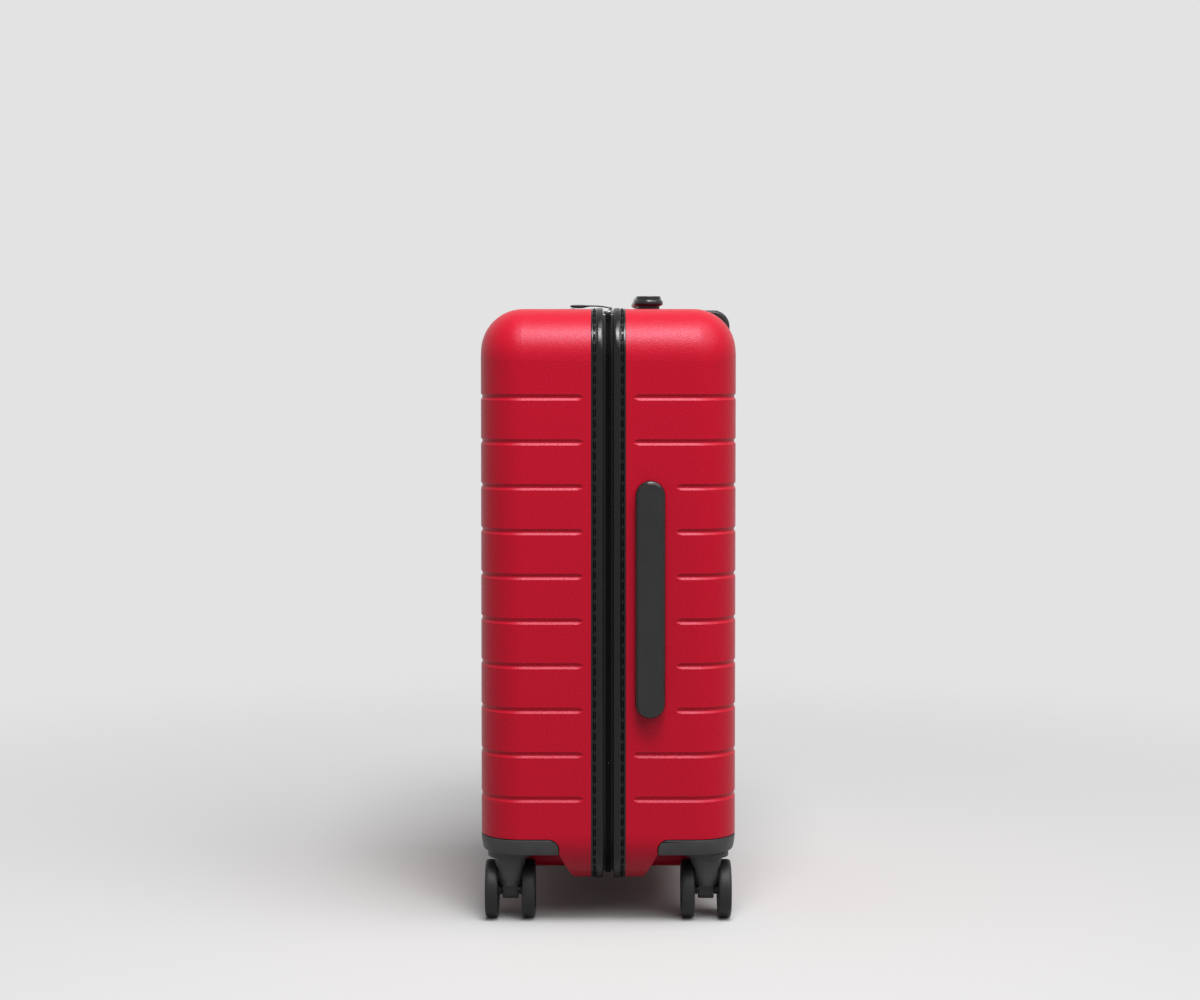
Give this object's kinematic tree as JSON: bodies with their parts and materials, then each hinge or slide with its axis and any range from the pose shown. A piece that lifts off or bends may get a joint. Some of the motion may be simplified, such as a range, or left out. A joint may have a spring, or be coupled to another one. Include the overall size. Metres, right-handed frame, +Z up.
{
  "type": "hard shell suitcase",
  "caption": "Upright hard shell cabin suitcase with grooved red halves joined by a zip, carry handles, a telescopic trolley handle and swivelling twin-wheel casters.",
  "frame": {"origin": "on the floor, under the middle of the two shells", "axes": "+Z up, -Y out of the front panel, +X out of the side with the carry handle"},
  "size_m": [0.367, 0.229, 0.563],
  "materials": {
    "shell_red": "fine pebbled grain, satin",
    "binding_black": "ribbed rubbery binding, stitched",
    "zip_black": "woven tape with coil teeth",
    "web_black": "woven",
    "lining_grey": "woven lining",
    "steel": "plain",
    "housing_black": "moulded, fine grain",
    "fork_black": "moulded",
    "wheel_black": "soft tread on a moulded core",
    "handle_black": "soft touch, fine grain",
    "trim_black": "moulded, fine grain",
    "tube_alu": "anodised",
    "button_grey": "satin",
    "zip_metal": "gunmetal",
    "dial_black": "plain numbers",
    "strap_black": "elastic webbing"
  },
  "bodies": {
    "base": {"back_shell": "shell_red", "back_binding": "binding_black", "back_zip_tape": "zip_black", "back_hinge_web": "web_black", "back_lining": "lining_grey", "trolley_cup": "trim_black", "trolley_outer_tubes": "tube_alu", "trolley_foot": "trim_black", "back_left_housing": "housing_black", "back_right_housing": "housing_black", "back_swivel_pins": "steel", "side_handle_base": "trim_black", "side_handle_retainers": "trim_black", "top_handle_base": "trim_black", "top_handle_retainers": "trim_black", "back_screws": "steel", "packing_straps": "strap_black", "strap_buckle": "trim_black"},
    "lid": {"front_shell": "shell_red", "front_binding": "binding_black", "front_zip_tape": "zip_black", "front_hinge_web": "web_black", "front_lining": "lining_grey", "front_left_housing": "housing_black", "front_right_housing": "housing_black", "front_swivel_pins": "steel", "front_screws": "steel", "lock_body": "trim_black"},
    "trolley_stage": {"trolley_middle_tubes": "tube_alu"},
    "trolley_handle": {"trolley_inner_tubes": "tube_alu", "trolley_grip": "trim_black"},
    "trolley_release": {"trolley_button": "button_grey", "trolley_push_rods": "steel"},
    "side_carry": {"side_handle": "handle_black"},
    "top_carry": {"top_handle": "handle_black"},
    "left_slider": {"left_zip_slider": "zip_metal"},
    "right_slider": {"right_zip_slider": "zip_metal"},
    "left_pull": {"left_zip_pull": "zip_metal"},
    "right_pull": {"right_zip_pull": "zip_metal"},
    "dial_1": {"lock_dial_1": "dial_black"},
    "dial_2": {"lock_dial_2": "dial_black"},
    "dial_3": {"lock_dial_3": "dial_black"},
    "lock_release": {"lock_button": "button_grey"},
    "front_left_caster": {"front_left_fork": "fork_black", "front_left_axle": "steel"},
    "front_left_outer_roll": {"front_left_outer_wheel": "wheel_black"},
    "front_left_inner_roll": {"front_left_inner_wheel": "wheel_black"},
    "front_right_caster": {"front_right_fork": "fork_black", "front_right_axle": "steel"},
    "front_right_outer_roll": {"front_right_outer_wheel": "wheel_black"},
    "front_right_inner_roll": {"front_right_inner_wheel": "wheel_black"},
    "back_left_caster": {"back_left_fork": "fork_black", "back_left_axle": "steel"},
    "back_left_outer_roll": {"back_left_outer_wheel": "wheel_black"},
    "back_left_inner_roll": {"back_left_inner_wheel": "wheel_black"},
    "back_right_caster": {"back_right_fork": "fork_black", "back_right_axle": "steel"},
    "back_right_outer_roll": {"back_right_outer_wheel": "wheel_black"},
    "back_right_inner_roll": {"back_right_inner_wheel": "wheel_black"}
  },
  "joints": [
    {"name": "lid_hinge", "type": "hinge", "parent": "base", "child": "lid", "pos_m": [-0.1786, 0, 0.294], "axis": [0, 0, -1], "range_deg": [0, 180]},
    {"name": "trolley_stage_slide", "type": "slide", "parent": "base", "child": "trolley_stage", "axis": [0, 0, 1], "range_m": [0, 0.225]},
    {"name": "trolley_grip_slide", "type": "slide", "parent": "trolley_stage", "child": "trolley_handle", "axis": [0, 0, 1], "range_m": [0, 0.225]},
    {"name": "trolley_button_press", "type": "slide", "parent": "trolley_handle", "child": "trolley_release", "axis": [0, 0, -1], "range_m": [0, 0.004], "stiffness_N_per_m": 900, "springref_m": -0.005},
    {"name": "side_handle_lift", "type": "slide", "parent": "base", "child": "side_carry", "axis": [1, 0, 0], "range_m": [0, 0.018], "stiffness_N_per_m": 250, "springref_m": -0.012},
    {"name": "top_handle_lift", "type": "slide", "parent": "base", "child": "top_carry", "axis": [0, 0, 1], "range_m": [0, 0.018], "stiffness_N_per_m": 250, "springref_m": -0.012},
    {"name": "left_zip_run", "type": "slide", "parent": "base", "child": "left_slider", "axis": [-1, 0, 0], "range_m": [0, 0.1165]},
    {"name": "left_pull_swing", "type": "hinge", "parent": "left_slider", "child": "left_pull", "pos_m": [-0.0085, 0.0024, 0.5525], "axis": [-1, 0, 0], "range_deg": [0, 90]},
    {"name": "right_zip_run", "type": "slide", "parent": "base", "child": "right_slider", "axis": [1, 0, 0], "range_m": [0, 0.1165]},
    {"name": "right_pull_swing", "type": "hinge", "parent": "right_slider", "child": "right_pull", "pos_m": [0.0085, 0.0024, 0.5525], "axis": [-1, 0, 0], "range_deg": [0, 90]},
    {"name": "dial_1_turn", "type": "hinge", "parent": "lid", "child": "dial_1", "pos_m": [0.019, -0.033, 0.5461], "axis": [1, 0, 0], "continuous": true},
    {"name": "dial_2_turn", "type": "hinge", "parent": "lid", "child": "dial_2", "pos_m": [0.027, -0.033, 0.5461], "axis": [1, 0, 0], "continuous": true},
    {"name": "dial_3_turn", "type": "hinge", "parent": "lid", "child": "dial_3", "pos_m": [0.035, -0.033, 0.5461], "axis": [1, 0, 0], "continuous": true},
    {"name": "lock_button_press", "type": "slide", "parent": "lid", "child": "lock_release", "axis": [0, 0, -1], "range_m": [0, 0.0018], "stiffness_N_per_m": 800, "springref_m": -0.002},
    {"name": "front_left_swivel", "type": "hinge", "parent": "lid", "child": "front_left_caster", "pos_m": [-0.143, -0.0885, 0.06], "axis": [0, 0, 1], "continuous": true},
    {"name": "front_left_outer_spin", "type": "hinge", "parent": "front_left_caster", "child": "front_left_outer_roll", "pos_m": [-0.134, -0.0885, 0.026], "axis": [0, 1, 0], "continuous": true},
    {"name": "front_left_inner_spin", "type": "hinge", "parent": "front_left_caster", "child": "front_left_inner_roll", "pos_m": [-0.134, -0.0885, 0.026], "axis": [0, 1, 0], "continuous": true},
    {"name": "front_right_swivel", "type": "hinge", "parent": "lid", "child": "front_right_caster", "pos_m": [0.143, -0.0885, 0.06], "axis": [0, 0, 1], "continuous": true},
    {"name": "front_right_outer_spin", "type": "hinge", "parent": "front_right_caster", "child": "front_right_outer_roll", "pos_m": [0.134, -0.0885, 0.026], "axis": [0, 1, 0], "continuous": true},
    {"name": "front_right_inner_spin", "type": "hinge", "parent": "front_right_caster", "child": "front_right_inner_roll", "pos_m": [0.134, -0.0885, 0.026], "axis": [0, 1, 0], "continuous": true},
    {"name": "back_left_swivel", "type": "hinge", "parent": "base", "child": "back_left_caster", "pos_m": [-0.143, 0.0885, 0.06], "axis": [0, 0, 1], "continuous": true},
    {"name": "back_left_outer_spin", "type": "hinge", "parent": "back_left_caster", "child": "back_left_outer_roll", "pos_m": [-0.134, 0.0885, 0.026], "axis": [0, 1, 0], "continuous": true},
    {"name": "back_left_inner_spin", "type": "hinge", "parent": "back_left_caster", "child": "back_left_inner_roll", "pos_m": [-0.134, 0.0885, 0.026], "axis": [0, 1, 0], "continuous": true},
    {"name": "back_right_swivel", "type": "hinge", "parent": "base", "child": "back_right_caster", "pos_m": [0.143, 0.0885, 0.06], "axis": [0, 0, 1], "continuous": true},
    {"name": "back_right_outer_spin", "type": "hinge", "parent": "back_right_caster", "child": "back_right_outer_roll", "pos_m": [0.134, 0.0885, 0.026], "axis": [0, 1, 0], "continuous": true},
    {"name": "back_right_inner_spin", "type": "hinge", "parent": "back_right_caster", "child": "back_right_inner_roll", "pos_m": [0.134, 0.0885, 0.026], "axis": [0, 1, 0], "continuous": true}
  ]
}
